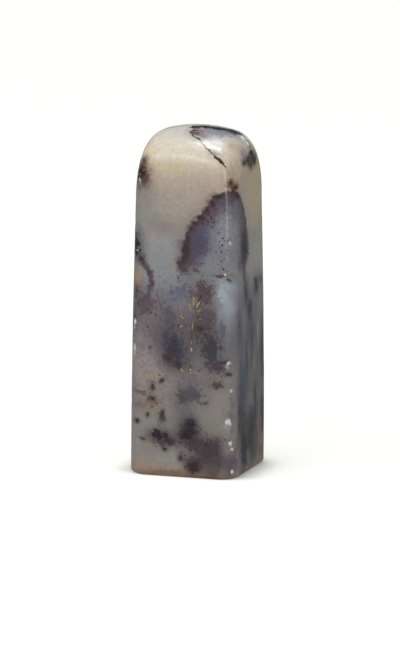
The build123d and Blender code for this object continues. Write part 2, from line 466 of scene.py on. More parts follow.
def keep_result(piece, tool, operation):
    """Runs one boolean and keeps what it makes."""
    step = piece.modifiers.new(operation.lower(), "BOOLEAN")
    step.operation = operation
    step.solver = "MANIFOLD"
    step.object = tool
    bpy.context.view_layer.update()
    result = bpy.data.meshes.new_from_object(piece.evaluated_get(bpy.context.evaluated_depsgraph_get()))
    piece.modifiers.clear()
    piece.data = result
    bpy.data.objects.remove(tool)


keep_result(stone, pocket, "DIFFERENCE")
for ribbon in ribbons:
    keep_result(stone, ribbon, "UNION")
keep_result(stone, cutters, "DIFFERENCE")
SHARP_ABOVE = math.radians(32)
stone.data.shade_smooth()
stone.data.set_sharp_from_angle(angle=SHARP_ABOVE)
check = bmesh.new()
check.from_mesh(stone.data)
loose = sum(not edge.is_manifold for edge in check.edges)
print("faces after cutting", len(check.faces), "open edges", loose, "mm3", round(check.calc_volume() / MM**3))
check.free()
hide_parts("seal_stone")
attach(stone, "root")

# %% [markdown]
# Tools for finishes. A finish is a small tree of nodes. The helpers add nodes to the tree at hand, which is
# the last one that was started: a material, or a node group, so that an effect is built once and placed with
# its own values wherever it is needed. Colours are written as they would be mixed on a screen, from 0 to 255,
# and turned into the linear light that the shader wants.

# %% Helpers for nodes
tree = None


def put(kind, inputs=(), **settings):
    """Adds a node to the tree at hand, sets its properties, and fills or links its inputs."""
    node = tree.nodes.new(kind)
    for name, value in settings.items():
        setattr(node, name, value)
    for name, value in dict(inputs).items():
        if isinstance(value, bpy.types.NodeSocket):
            tree.links.new(value, node.inputs[name])
        else:
            node.inputs[name].default_value = value
    return node


def calculate(operation, *values):
    """A math node; gives its result."""
    return put("ShaderNodeMath", enumerate(values), operation=operation).outputs[0]


def plus(value, *others):
    """A sum, taken from left to right."""
    for other in others:
        value = calculate("ADD", value, other)
    return value


def times(value, *others):
    """A product, taken from left to right."""
    for other in others:
        value = calculate("MULTIPLY", value, other)
    return value


def minus(value, other):
    """A difference."""
    return calculate("SUBTRACT", value, other)


def over(value, other):
    """A quotient."""
    return calculate("DIVIDE", value, other)


def vector(operation, *values, scale=None):
    """A vector math node; gives its result."""
    inputs = dict(enumerate(values))
    if scale is not None:
        inputs["Scale"] = scale
    node = put("ShaderNodeVectorMath", inputs, operation=operation)
    return node.outputs["Value" if operation in ("LENGTH", "DOT_PRODUCT", "DISTANCE") else "Vector"]


def between(value, low, high, start=0.0, end=1.0, way="SMOOTHSTEP"):
    """Goes smoothly from start to end while the value goes from low to high, and stops there."""
    inputs = {"Value": value, "From Min": low, "From Max": high, "To Min": start, "To Max": end}
    return put("ShaderNodeMapRange", inputs, interpolation_type=way).outputs[0]


def evenly(value, low, high, start=0.0, end=1.0):
    """The same as between, but in a straight line."""
    return between(value, low, high, start, end, "LINEAR")


def axes(place):
    """The three numbers of a place."""
    return put("ShaderNodeSeparateXYZ", {0: place}).outputs


def noise(place, scale, detail, distortion=0.0):
    """A noise texture's outputs: a value and a colour."""
    inputs = {"Vector": place, "Scale": scale, "Detail": detail, "Distortion": distortion}
    return put("ShaderNodeTexNoise", inputs).outputs


def blend(share, under, upper):
    """Lays one colour over another by a share."""
    return put("ShaderNodeMix", {0: share, 6: under, 7: upper}, data_type="RGBA", blend_type="MIX").outputs[2]


def tone(red, green, blue):
    """A colour from 0 to 255 per channel, as linear light with full cover."""
    shares = [v / 255 for v in (red, green, blue)]
    return tuple(v / 12.92 if v <= 0.04045 else ((v + 0.055) / 1.055) ** 2.4 for v in shares) + (1.0,)


def ramp(value, stops):
    """A colour ramp through stops, each a position and a colour."""
    node = put("ShaderNodeValToRGB", {0: value})
    while len(node.color_ramp.elements) < len(stops):
        node.color_ramp.elements.new(0.5)
    for stop, (at, colour) in zip(node.color_ramp.elements, stops):
        stop.position, stop.color = at, tone(*colour)
    return node.outputs[0]


print("mid grey in linear light", [round(v, 3) for v in tone(128, 128, 128)])

# %% Helpers for groups and materials


def start_group(name, inputs, outputs=("Colour",)):
    """A new node group as the tree at hand. An input is given by its kind, or by its first number."""
    global tree
    tree = bpy.data.node_groups.new(name, "ShaderNodeTree")
    for label, kind in inputs.items():
        socket_kind = "NodeSocket" + (kind if isinstance(kind, str) else "Float")
        socket = tree.interface.new_socket(label, in_out="INPUT", socket_type=socket_kind)
        if not isinstance(kind, str):
            socket.default_value = kind
    for label in outputs:
        socket_kind = "NodeSocketColor" if label == "Colour" else "NodeSocketFloat"
        tree.interface.new_socket(label, in_out="OUTPUT", socket_type=socket_kind)
    return tree, tree.nodes.new("NodeGroupInput").outputs


def end_group(results):
    """Links a group's results to its outputs."""
    put("NodeGroupOutput", results)
    print(tree.name, "has", len(tree.nodes), "nodes")


def place_group(group, inputs):
    """Places a node group in the tree at hand and gives its outputs."""
    return put("ShaderNodeGroup", inputs, node_tree=group).outputs


def start_finish(name):
    """A new material, with its empty tree as the tree at hand."""
    global tree
    finish = bpy.data.materials.new(name)
    finish.use_nodes = True
    tree = finish.node_tree
    tree.nodes.clear()
    return finish


def end_finish(shader_inputs, finish, piece):
    """Adds the shader and gives the finish to a piece."""
    shader = put("ShaderNodeBsdfPrincipled", shader_inputs)
    put("ShaderNodeOutputMaterial", {0: shader.outputs[0]})
    piece.data.materials.clear()
    piece.data.materials.append(finish)
    print(finish.name, "has", len(tree.nodes), "nodes")


print("ready to write groups and materials")

# %% [markdown]
# Where a mark lies. The stone's clouds and specks were laid down in the rock, so they are placed in the
# stone's own space, in millimetres, and not on a picture that is wrapped round it. One group gives three
# grains of noise there, which eat into the marks' borders. A function pushes the place about by noise before
# it is compared with a mark, so that outlines look natural: a long push for clouds, a short one for specks.

# %% Group: grain, and places in the stone
GRAINS = {"Coarse grain": (0.28, 4.0), "Fine grain": (1.1, 4.0), "Dust grain": (4.5, 3.0)}
GRAIN_RANGE = (0.3, 0.7)
grain_group, given = start_group("Stone grain", {"Place": "Vector"}, tuple(GRAINS))
end_group({name: evenly(noise(given["Place"], scale, detail)[0], *GRAIN_RANGE)
           for name, (scale, detail) in GRAINS.items()})


def object_place():
    """The place on the object, in millimetres."""
    return vector("SCALE", put("ShaderNodeTexCoord").outputs["Object"], scale=1 / MM)


def pushed(place, scale, detail, reach):
    """The place, moved by noise in every direction by up to about this reach."""
    centred = vector("SUBTRACT", noise(place, scale, detail)["Color"], (0.5, 0.5, 0.5))
    return vector("ADD", place, vector("SCALE", centred, scale=reach))


def find_grains(place):
    """The coarse, fine and dust grain at a place."""
    return list(place_group(grain_group, {"Place": place}))


# %% [markdown]
# A patch of mineral. One group lays one patch over the colour beneath it: an egg-shaped cloud with a centre,
# a half size and a turn. Grain eats into its border, and its edge can be soft, for a cloud deep in the stone,
# or crisp, for a mark that reaches the surface. A faint halo round it is the same mineral thinning out below
# the surface. Nearly all of the stone's pattern is this one group, placed many times.

# %% Group: mineral patch
HALO_START, HALO_END = -0.9, 0.6
patch_group, given = start_group("Mineral patch", {
    "Under": "Color", "Colour": "Color", "Place": "Vector", "Grain": 0.5, "Centre": "Vector",
    "Half size": "Vector", "Turn": "Vector", "Raggedness": 0.6, "Softness": 0.5, "Strength": 1.0,
    "Halo": 0.0})
local = put("ShaderNodeMapping", {
    "Vector": given["Place"], "Location": given["Centre"], "Rotation": given["Turn"],
    "Scale": given["Half size"]}, vector_type="TEXTURE").outputs[0]
inward = minus(1.0, vector("LENGTH", local))
eaten = times(minus(given["Grain"], 0.5), given["Raggedness"])
core = times(between(plus(inward, eaten), 0.0, given["Softness"]), given["Strength"])
halo = times(between(inward, HALO_START, HALO_END), given["Halo"])
end_group({"Colour": blend(calculate("MAXIMUM", core, halo), given["Under"], given["Colour"])})

# %% [markdown]
# Specks. Iron and manganese crystals show as dots of near black. The space is divided into cells with one dot
# each, and a cell shows its dot only where the crowd value is above that cell's own draw, so dots gather
# where they should.

# %% Group: specks
SMALLEST_DOT = 0.45
CROWD_EDGE, DOT_EDGE = (0.0, 0.08), (1.0, 0.45)
speck_group, given = start_group("Specks", {
    "Under": "Color", "Colour": "Color", "Place": "Vector", "Crowd": 0.2, "Cell": 1.0, "Dot": 0.3})
cells = put("ShaderNodeTexVoronoi", {
    "Vector": given["Place"], "Scale": over(1.0, given["Cell"]), "Randomness": 1.0}).outputs
draws = put("ShaderNodeSeparateColor", {"Color": cells["Color"]}).outputs
shown = between(minus(given["Crowd"], draws[0]), *CROWD_EDGE)
dot_reach = times(given["Dot"], evenly(draws[1], 0.0, 1.0, SMALLEST_DOT, 1.0))
inside_dot = between(over(cells["Distance"], dot_reach), *DOT_EDGE)
end_group({"Colour": blend(times(shown, inside_dot), given["Under"], given["Colour"])})

# %% [markdown]
# Veins. A vein is a crack that was filled with darker mineral, so on the surface it is a thin line. This
# group measures the distance to a straight stretch between two places; several stretches in a row make a bent
# vein.

# %% Group: vein
VEIN_EDGE = (1.0, 0.3)
NARROWEST, WIDEST = 0.5, 1.5
vein_group, given = start_group("Vein", {
    "Under": "Color", "Colour": "Color", "Place": "Vector", "Grain": 0.5, "Start": "Vector", "End": "Vector",
    "Half width": 0.3, "Strength": 1.0})
run = vector("SUBTRACT", given["End"], given["Start"])
from_start = vector("SUBTRACT", given["Place"], given["Start"])
along = over(vector("DOT_PRODUCT", from_start, run), vector("DOT_PRODUCT", run, run))
along = put("ShaderNodeClamp", {"Value": along}).outputs[0]
away = vector("DISTANCE", from_start, vector("SCALE", run, scale=along))
width = times(given["Half width"], evenly(given["Grain"], 0.0, 1.0, NARROWEST, WIDEST))
vein_mask = times(between(over(away, width), *VEIN_EDGE), given["Strength"])
end_group({"Colour": blend(vein_mask, given["Under"], given["Colour"])})

# %% [markdown]
# The stone's clouds, as a list. Each row lays one patch of mineral: where it is on a face, how far it
# reaches, its colour, and how many degrees it leans. One pale row on the crown is no mineral but a painted
# highlight, a soft white sheen laid into the colour. Broad soft zones come first, then clouds, then crisp
# marks on top, the way a painter would lay them. Patches on a face reach a few millimetres inwards, so one
# near an edge wraps round it as it does in a real stone.

# %% Patches on each face
FACES = {"front": -12.5, "right": 12.2, "back": 12.5, "left": -12.2}
INWARD_REACH = 5.5


def on(face, *rows):
    """Patches on one face. A row gives the place along the face (x on front and back, y on the sides),
    height, half width, half height, red, green, blue and, if it leans, the degrees to the right or back."""
    patches = []
    for side, z, half_wide, half_high, red, green, blue, *leaning in rows:
        turn = math.radians(sum(leaning))
        if face in ("front", "back"):
            shape = (side, FACES[face], z), (half_wide, INWARD_REACH, half_high), (0, turn, 0)
        else:
            shape = (FACES[face], side, z), (INWARD_REACH, half_wide, half_high), (-turn, 0, 0)
        patches.append(shape + ((red, green, blue),))
    return patches


def within(*rows):
    """Patches anywhere. A row gives x, y, z, three half sizes, red, green, blue and, if turned, degrees."""
    return [(row[0:3], row[3:6], (0, 0, math.radians(sum(row[9:]))), row[6:9]) for row in rows]


SOFT_ZONES = (
    *on("front",
        (-9, 59, 7.5, 9.5, 131, 129, 126), (7.5, 66.5, 4.5, 5, 166, 149, 133)),
    *within(
        (-2.5, -11.6, 69, 6.8, 3.5, 2.2, 178, 164, 130), (-9.5, -8.5, 71.5, 4, 4, 4, 202, 188, 152),
        (11, -8.7, 68, 3, 4, 4.5, 156, 137, 118)),
    *on("right",
        (4, 62, 11, 12, 174, 158, 130), (4, 47, 9, 8, 148, 145, 138), (2, 24, 12, 18, 76, 80, 88),
        (-1, 9, 8, 11, 36, 37, 43)),
    *on("front",
        (-2.5, 46.5, 6, 8, 129, 134, 136), (-8, 33, 5.5, 6, 117, 109, 111),
        (-8.5, 24.5, 5, 5.5, 139, 131, 127), (10.3, 30, 3, 6, 108, 108, 117),
        (9.6, 16.5, 4, 7, 128, 121, 118), (10.8, 38.5, 3, 8, 143, 152, 160), (8, 4.2, 7, 7.5, 58, 44, 52),
        (11.6, 4, 2, 4.5, 88, 74, 83), (1, 31, 8.5, 9, 98, 92, 97), (0.5, 12, 4.5, 8, 104, 98, 97)),
    *on("back",
        (-3, 60, 11, 14, 150, 143, 130), (-6.5, 60, 6, 6, 168, 156, 136), (5, 44, 7, 9, 98, 95, 104),
        (2, 10, 9, 8, 88, 78, 83), (4, 34, 12, 14, 116, 113, 116), (-4, 10, 10, 12, 104, 98, 97)),
    *on("left",
        (2, 56, 10, 14, 140, 137, 130), (4.5, 38, 6.5, 9, 100, 96, 103), (3.5, 10, 7, 7, 88, 76, 81),
        (-5.5, 29, 4, 7, 140, 133, 126), (3, 26, 11, 14, 112, 106, 106)),
)
CLOUDS_AND_HIGHLIGHT = (
    *on("front",
        (-0.5, 41.2, 3, 2.8, 96, 99, 114), (-8.5, 38.2, 4, 3.4, 86, 74, 80),
        (-6.5, 32, 3.4, 3, 106, 97, 101), (-2.5, 36, 2.2, 3.6, 88, 80, 90, -15),
        (5.2, 41.8, 3.2, 3.8, 78, 64, 66, -15), (5.8, 36, 3.6, 4.4, 84, 74, 80),
        (3.2, 33.5, 2.6, 3.6, 80, 70, 70), (-1.4, 29, 3.4, 5.4, 48, 50, 64, -20),
        (-3.4, 31.5, 1.6, 2.4, 62, 60, 72), (-0.5, 25.6, 2.4, 2, 50, 44, 52),
        (-2.8, 26.8, 2, 2.4, 54, 46, 52), (7, 29, 3.6, 5.8, 52, 51, 56), (8.2, 25.2, 2.6, 1.8, 64, 54, 62),
        (2.6, 19.2, 3.6, 3.4, 74, 71, 80), (0.4, 18, 1.8, 2.4, 72, 64, 70),
        (3.4, 7.6, 2.8, 2.8, 52, 51, 54), (2.2, 11, 2.3, 2.8, 44, 36, 44), (5.8, 6, 2.6, 3.4, 66, 54, 60),
        (-4.2, 13.2, 1.1, 2, 62, 48, 50, -10), (-2.4, 8.2, 2.2, 1.4, 60, 52, 58, 20),
        (2.8, 2.6, 2, 2.4, 56, 44, 46), (-6.4, 22.5, 2.4, 1.5, 146, 130, 108),
        (-6.7, 15.3, 2.2, 1.1, 134, 117, 98, 50), (-9.6, 15.8, 2.6, 1.2, 116, 100, 92),
        (-9, 1.9, 4.5, 1.4, 146, 124, 106), (-10.6, 41.5, 1.3, 2.6, 62, 46, 52),
        (-11.2, 35, 1, 2.4, 76, 58, 62), (-9.8, 30.5, 2, 1.6, 132, 122, 120),
        (-11.4, 26.5, 1.2, 2.2, 150, 140, 132), (9.6, 33.5, 1, 3.6, 88, 82, 92),
        (9.4, 41.5, 1.4, 3.6, 150, 158, 164), (-2, 1.1, 9, 0.8, 116, 94, 82),
        (8.6, 21.2, 2, 1.1, 76, 56, 60), (6.2, 13.6, 2.6, 3.2, 124, 121, 115),
        (2.4, 21.8, 3.4, 1.6, 104, 99, 104), (-1.4, 12.6, 1.3, 3.6, 112, 110, 106),
        (-8, 5.5, 3, 2.2, 128, 124, 116), (-1.9, 47.6, 1, 1, 146, 124, 108),
        (-4.5, 49.5, 3, 2, 136, 132, 132)),
    *within(
        (-10.4, -11.6, 44.4, 1.5, 2.4, 2.4, 156, 130, 102)),
    *on("right",
        (-4.6, 51.2, 1.9, 3.2, 40, 38, 42), (-5.2, 46, 1.3, 5.5, 76, 60, 67),
        (-3.9, 40.6, 2.2, 3.3, 26, 24, 32), (3.6, 41.2, 2.4, 3, 28, 26, 34),
        (6.8, 42.2, 1.2, 1.8, 78, 74, 74), (-1, 36.2, 2.2, 4.2, 34, 30, 48), (5, 33, 2.2, 3, 98, 98, 104),
        (-1, 30, 2.2, 3.4, 70, 74, 84), (-5.6, 20.6, 2.9, 8, 58, 67, 86), (-2.5, 27, 1.6, 3, 92, 98, 104),
        (1.9, 24, 1, 4.5, 130, 118, 106), (5.4, 12, 1.6, 6, 94, 84, 84), (-7.4, 19, 2.4, 15, 56, 68, 76),
        (-8.4, 33, 1.4, 6, 66, 72, 84), (-3.6, 25, 1, 6.5, 42, 54, 60), (-6.4, 9, 1.8, 7.5, 28, 28, 38),
        (0.4, 30, 1.2, 6, 56, 60, 70), (-3, 15, 0.8, 5, 86, 96, 108), (2.4, 15, 1, 7, 42, 44, 50),
        (4.9, 31.5, 0.9, 4, 132, 120, 104), (5.8, 10, 0.9, 5, 114, 100, 88), (7.6, 25, 1.2, 7, 42, 44, 50),
        (9.6, 9, 1, 7, 40, 38, 42), (6.5, 3.4, 3, 2.6, 106, 94, 84), (9, 22, 1.5, 2.8, 52, 52, 54),
        (8.6, 30, 1.4, 3.4, 56, 54, 60), (-5.4, 5.4, 3.2, 5.6, 22, 18, 38), (-0.6, 9, 2.6, 6, 30, 30, 38),
        (3.8, 7, 1.8, 4.6, 84, 64, 66), (8, 12, 1.6, 7, 44, 44, 48), (-8.6, 14, 1.4, 8, 50, 50, 60)),
    *within(
        (5.2, -3.4, 75.8, 6.4, 3.8, 4, 135, 137, 150, 18),
        (7.6, -1.6, 75.4, 3.2, 1.8, 1.6, 112, 106, 118, 18)),
    *on("front",
        (3, 56.6, 2.2, 3.4, 120, 101, 97, 35), (6.4, 61.4, 2, 2.4, 130, 109, 99, 35),
        (0.4, 51.4, 1.9, 3.2, 108, 94, 96), (-5.5, 16.8, 2.4, 0.9, 124, 104, 90, -25),
        (-9.5, 18.6, 2.6, 0.5, 104, 84, 78, 12), (-4.6, 8.4, 3.2, 2.5, 98, 88, 94),
        (1.7, 10.4, 2.8, 4.2, 74, 64, 72), (6.8, 7.4, 3.4, 3.6, 66, 52, 60),
        (-4, 55.6, 4.5, 2.2, 133, 121, 118)),
    *within(
        (1.2, -4.9, 76, 2.2, 2.4, 2.5, 128, 110, 117, 20),
        (3, -6.4, 75.2, 1.6, 1.4, 1.5, 128, 116, 124, 20), (11.4, -3.6, 71.4, 2.6, 2.8, 2.2, 146, 132, 130),
        (9.3, -6.3, 73.4, 1.8, 1.7, 1.4, 176, 156, 128), (6.6, -9.4, 72, 1.8, 1, 0.9, 150, 134, 138),
        (10.9, -10.1, 65.3, 2, 1.9, 1.6, 126, 92, 62), (-9.4, -11.2, 66.6, 2.9, 2.9, 3.6, 104, 76, 66),
        # A painted highlight: a soft white sheen on the crown above the vein, laid as a pale patch.
        (5.6, -7.7, 74, 3.6, 1.5, 1.3, 204, 201, 203)),
    *on("back",
        (2, 52, 4.5, 6, 80, 72, 78, 25), (4.8, 46, 4.5, 6, 92, 88, 97, 20),
        (-3.5, 34, 4, 6, 80, 76, 88, -15), (-8, 22, 2.6, 5, 104, 96, 96), (1, 8.5, 5, 4, 74, 62, 68),
        (7.8, 13, 2.4, 5, 64, 60, 70), (8.4, 31, 1.4, 3, 142, 124, 102)),
    *on("left",
        (-4.2, 46, 2.6, 6, 86, 80, 88, 10), (5.6, 36, 3, 5, 76, 74, 86, -15),
        (-0.5, 23.5, 4, 4.5, 92, 82, 86), (4.6, 8.5, 4, 4, 70, 58, 64), (-7.4, 9, 1.8, 4.5, 106, 92, 86)),
    *on("back",
        (-5, 40, 3, 5, 74, 74, 82, -20), (6, 24, 3.5, 5, 62, 56, 62, 10), (-2, 18, 3, 3, 84, 72, 74),
        (-6.5, 68, 3, 2.5, 176, 158, 130)),
    *on("left",
        (-2, 36, 3, 5, 76, 68, 74, 15), (5, 52, 3, 4.5, 88, 84, 90, -25), (2, 14, 4, 4, 66, 56, 60),
        (-5, 20, 2.2, 3, 150, 128, 104), (6, 68, 3.5, 3, 190, 174, 144)),
)
CRISP_MARKS = (
    *within(
        (-10.3, -10.6, 67.4, 2.2, 2.6, 2.9, 34, 15, 14), (-9.8, -9.8, 69.4, 1.2, 1.4, 1.2, 84, 56, 42),
        (-8.7, -11.8, 65.7, 1.2, 1.3, 1, 80, 58, 58), (-10.9, -10.8, 51.2, 2.3, 2.7, 3.4, 18, 8, 18),
        (-9.5, -12, 48.4, 1.3, 1.3, 1.1, 52, 37, 48)),
    *on("front",
        (-5, 9.3, 2.7, 1.5, 38, 24, 35), (-2.8, 8, 1.5, 1, 50, 38, 48),
        (-3.8, 6.5, 1.1, 0.7, 48, 37, 40, 60), (1.5, 9.6, 2.1, 1.5, 34, 20, 32),
        (2.5, 11.8, 1.6, 1.9, 36, 26, 38), (3.2, 2.6, 1.5, 1.5, 46, 32, 36),
        (0.3, 4.6, 0.8, 1.2, 58, 46, 52), (-4.3, 21.6, 1, 0.5, 52, 38, 38, -50),
        (-6.5, 20.1, 0.65, 1.1, 48, 32, 34), (-6.7, 17.4, 1, 0.8, 42, 22, 24),
        (-7.6, 13.8, 0.6, 0.55, 54, 37, 36), (-10.2, 12.1, 0.9, 0.5, 46, 31, 32),
        (-8.9, 8.4, 0.8, 0.4, 60, 48, 48), (-4.1, 14.4, 0.5, 0.7, 52, 38, 40),
        (10.6, 23.6, 0.9, 0.5, 56, 40, 48), (9.6, 26.3, 1, 0.5, 60, 44, 52),
        (6.9, 61.4, 0.8, 0.6, 50, 32, 36, 40), (5.6, 59.8, 0.8, 0.7, 52, 36, 40, 40),
        (4.4, 58.2, 0.9, 0.6, 48, 32, 38), (3.1, 56.8, 0.7, 0.6, 56, 40, 46),
        (1.9, 55.4, 0.8, 0.7, 52, 40, 46), (1.4, 53.2, 0.6, 1, 54, 42, 50), (1.1, 51, 0.9, 1.5, 52, 38, 46),
        (0.6, 48.9, 1.3, 1, 56, 40, 48), (0.6, 46.2, 1, 0.5, 62, 48, 50, -40),
        (-0.7, 48, 0.45, 1, 62, 46, 50), (3.4, 46.4, 0.9, 0.45, 84, 62, 66, 30),
        (9.2, 45.5, 1.8, 0.4, 70, 48, 54), (10.6, 44.5, 0.4, 0.5, 40, 30, 36),
        (4.4, 33.6, 1.2, 0.6, 50, 38, 38), (-7, 28.6, 0.5, 0.4, 58, 46, 48), (5.6, 17, 1, 0.4, 64, 58, 60)),
    *within(
        (11.7, 1.4, 70.3, 2.4, 2.1, 2, 10, 2, 6), (11.7, 3.2, 69.2, 2.4, 1.8, 1.4, 14, 4, 8),
        (11.7, -1.6, 69.7, 2.2, 2.5, 1.1, 34, 16, 18), (11.8, -4.4, 69.6, 1.8, 1.3, 0.8, 46, 26, 28),
        (11.8, 0.2, 68.4, 2, 1.5, 1.1, 20, 6, 10), (10.5, -10.6, 65.8, 0.9, 0.9, 0.7, 66, 36, 24),
        (11.4, -9.3, 64.8, 0.9, 1, 0.8, 50, 26, 20), (11.1, -10.1, 64.2, 0.6, 0.6, 0.4, 46, 24, 20),
        (10.9, -10.2, 66.6, 0.7, 0.6, 0.3, 84, 54, 38), (8.2, -12, 63, 1.3, 1, 0.5, 52, 34, 34),
        (11.6, -8.6, 62.9, 0.7, 1, 0.7, 46, 30, 30)),
    *on("right",
        (9.4, 13.5, 0.6, 1.1, 48, 44, 46), (-4.8, 51.6, 2.6, 3.4, 18, 14, 20),
        (-3.4, 50, 1.6, 2, 14, 12, 18)),
    *on("back",
        (3, 57, 1.6, 0.9, 52, 36, 40, 30), (5.6, 49, 1.9, 1.4, 42, 30, 36, 20),
        (-3.8, 31.5, 1.2, 1.5, 46, 38, 46), (1.4, 8.2, 2.2, 1.3, 38, 26, 34),
        (8.4, 16, 0.9, 1.4, 44, 34, 40)),
    *on("left",
        (5.8, 37.4, 1.2, 1.7, 38, 28, 38), (4.2, 8.4, 1.9, 1.2, 38, 26, 32),
        (-3.8, 47.6, 0.8, 1.4, 50, 38, 44)),
    *on("back",
        (-6, 30, 1, 1.8, 46, 37, 40), (4, 12, 1.8, 1, 46, 36, 40, -25)),
    *on("left",
        (-4.5, 33, 1, 1.6, 46, 36, 40), (4, 44, 1.2, 0.8, 54, 40, 44), (1, 8, 1.8, 1, 48, 36, 40)),
)
print(len(SOFT_ZONES), "zones,", len(CLOUDS_AND_HIGHLIGHT), "clouds,", len(CRISP_MARKS), "crisp marks")

# %% [markdown]
# The great dark cloud. One mark rules the whole stone: a slate-coloured flame that wraps the front right
# edge, with a crisp plum rim above and a bottom that fades away. It has too exact an outline for egg shapes,
# so two curves give its left and right border at each height, measured round the edge from the middle of the
# front. Grain moves the border, and the colour then depends on how many millimetres inside it a place lies.

# %% Group: the great cloud
CLOUD_BORDER = (
    # height, left border, right border
    (44.0, -0.8, 19.4), (47.0, -0.5, 19.6), (49.0, 0.1, 20.6), (51.0, 0.7, 22.2), (53.4, 1.0, 22.5),
    (55.6, 1.9, 22.1), (58.2, 4.0, 21.0), (61.1, 6.4, 19.2), (62.9, 8.0, 17.2), (64.0, 9.9, 14.8),
    (64.7, 12.4, 12.4),
)
CLOUD_REACH = 30.0
CLOUD_TOP = 64.4
SIDE_START, SIDE_END = 2.0, 7.0
FADE_START, FADE_END, FADE_RAGGEDNESS = 45.5, 51.5, 4.0
BORDER_WOBBLE = 0.9
BORDER_SOFTNESS = 0.6
RIM_DEPTH = 8.0
RIM_STOPS = ((0.0, (64, 46, 49)), (0.10, (66, 49, 53)), (0.22, (82, 68, 74)), (0.42, (80, 75, 89)),
             (0.80, (114, 113, 120)))


def border_curve(height, column):
    """A float curve that gives one border of the cloud at a height."""
    curve_node = put("ShaderNodeFloatCurve", {"Value": over(height, SEAL_HEIGHT)})
    points = curve_node.mapping.curves[0].points
    rows = [(row[0] / SEAL_HEIGHT, row[column] / CLOUD_REACH) for row in CLOUD_BORDER]
    points[0].location, points[1].location = rows[0], rows[-1]
    for row in rows[1:-1]:
        points.new(*row)
    curve_node.mapping.extend = "HORIZONTAL"
    curve_node.mapping.update()
    return times(curve_node.outputs[0], CLOUD_REACH)


cloud_group, given = start_group("Great cloud", {
    "Under": "Color", "Place": "Vector", "Coarse grain": 0.5, "Fine grain": 0.5})
x, y, z = axes(given["Place"])
round_edge = plus(x, y, FACE_DEPTH / 2)
from_left = minus(round_edge, border_curve(z, 1))
from_right = minus(border_curve(z, 2), round_edge)
inside = calculate("MINIMUM", calculate("MINIMUM", from_left, from_right), minus(CLOUD_TOP, z))
inside = plus(inside, times(minus(given["Fine grain"], 0.5), BORDER_WOBBLE))
facing = between(minus(x, y), SIDE_START, SIDE_END)
fading = between(plus(z, times(given["Coarse grain"], FADE_RAGGEDNESS)), FADE_START, FADE_END)
cover = times(facing, fading, between(inside, 0.0, BORDER_SOFTNESS))
end_group({"Colour": blend(cover, given["Under"], ramp(over(inside, RIM_DEPTH), RIM_STOPS))})

# %% [markdown]
# Surface wear that all three finishes share. Handling leaves fine pits and a faint network of scratches on
# stone, gilt and dried paste alike. This group puts out a height for a bump node, and a value that spoils the
# polish.

# %% Group: handling wear
SCRATCH_STRETCH = (2.6, 2.6, 0.16)
PIT_EDGE = (0.20, 0.05)
PIT_CROWDS = (0.48, 0.62)
SCRATCH_EDGE = (0.012, 0.0)
SKIN_SHARE = 0.35
wear_group, given = start_group(
    "Handling wear", {"Pits": 0.5, "Scratches": 0.4, "Size": 1.0}, ("Height", "Dullness"))
place = vector("SCALE", object_place(), scale=over(1.0, given["Size"]))
pit_cells = put("ShaderNodeTexVoronoi", {"Vector": place, "Scale": 1.3}).outputs["Distance"]
pits = times(between(pit_cells, *PIT_EDGE), between(noise(place, 0.35, 2.0)[0], *PIT_CROWDS))
scratch_lines = noise(vector("MULTIPLY", place, SCRATCH_STRETCH), 1.6, 2.0, 0.6)[0]
scratches = between(calculate("ABSOLUTE", minus(scratch_lines, 0.5)), *SCRATCH_EDGE)
worn = plus(times(pits, given["Pits"]), times(scratches, given["Scratches"]))
end_group({"Height": minus(times(noise(place, 2.2, 4.0)[0], SKIN_SHARE), worn), "Dullness": worn})


def bumped(height, strength, distance):
    """A normal that is bent by a height; the distance is in millimetres."""
    inputs = {"Height": height, "Strength": strength, "Distance": distance * MM}
    return put("ShaderNodeBump", inputs).outputs[0]


# %% [markdown]
# The stone's finish puts it all together. A ramp gives the general tone at each height: a warm cream crown, a
# grey middle and a pinkish foot. Zones, clouds and the great cloud are laid over it in that order. The
# renderer can hold only so many values at once, and here hundreds of patches wait for each other. So every
# few rows the place is tied to the colour so far, by far less than can be seen, and what follows is worked
# out after it.

# %% The stone's finish: tones and patches
TONES = (
    # height, colour
    (0.0, (138, 122, 110)), (4.0, (133, 130, 122)), (13.0, (127, 123, 118)), (23.0, (130, 123, 118)),
    (31.0, (112, 106, 108)), (40.0, (119, 118, 123)), (47.0, (130, 133, 134)), (56.0, (142, 138, 132)),
    (62.0, (157, 146, 133)), (66.0, (167, 154, 138)), (69.0, (174, 162, 142)), (73.0, (195, 187, 168)),
    (76.8, (202, 198, 189)),
)
CLOUD_INSIDE = (
    *on("front",
        (4.4, 52.4, 3.4, 4.4, 66, 62, 82), (2.6, 55.8, 1.4, 3, 72, 62, 76, 30)),
    *within(
        (9.8, -11, 55, 2.6, 2.6, 6, 128, 127, 132)),
    *on("front",
        (6.8, 60, 2.2, 3, 90, 72, 78, 30)),
    *within(
        (11.4, -9.6, 60, 1.5, 1.8, 3, 104, 98, 102)),
    *on("front",
        (9.2, 48.5, 3, 2.5, 116, 116, 124)),
)
HARDLY = 0.000001
ROWS_AT_ONCE = 6


def in_turn(place, colour):
    """The place, moved by far less than can be seen, so that what follows is worked out after this colour."""
    return vector("MULTIPLY_ADD", colour, (HARDLY, HARDLY, HARDLY), place)


def lay(colour, rows, place, grain, ragged, soft, strength, halo=0.0):
    """Lays a list of patches over a colour, one after another."""
    for number, (centre, half_size, turn, patch_colour) in enumerate(rows):
        if number % ROWS_AT_ONCE == 0 and isinstance(colour, bpy.types.NodeSocket):
            place = in_turn(place, colour)
        colour = place_group(patch_group, {
            "Under": colour, "Colour": tone(*patch_colour), "Place": place, "Grain": grain, "Centre": centre,
            "Half size": half_size, "Turn": turn, "Raggedness": ragged, "Softness": soft,
            "Strength": strength, "Halo": halo})["Colour"]
    return colour


